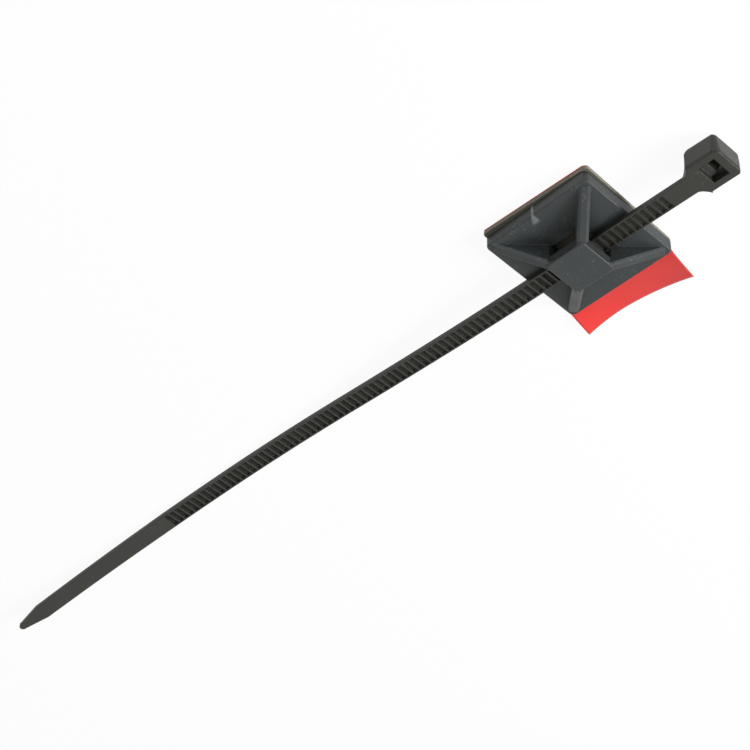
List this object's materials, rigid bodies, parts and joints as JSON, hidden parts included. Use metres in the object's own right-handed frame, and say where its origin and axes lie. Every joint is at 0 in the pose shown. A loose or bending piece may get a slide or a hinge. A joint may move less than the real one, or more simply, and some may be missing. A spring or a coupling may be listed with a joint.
{
  "type": "cable tie mount",
  "caption": "Square self-adhesive cable tie mount with a raised four-way bridge, foam pad and release liner, and a nylon tie threaded under the bridge.",
  "frame": {"origin": "centre of the base, on the underside of the release liner, which is the side that sticks to a surface", "axes": "+Z out of the surface that the mount sticks to, +X along the threaded tie towards its head, and +Y to the side away from the liner's pull tab"},
  "size_m": [0.2253, 0.0395, 0.01],
  "materials": {
    "mount": "satin",
    "foam": "matte",
    "liner": "gloss",
    "tie": "satin"
  },
  "bodies": {
    "root": {"mount_body": "mount", "foam_pad": "foam", "release_liner": "liner", "cable_tie": "tie"}
  },
  "joints": []
}
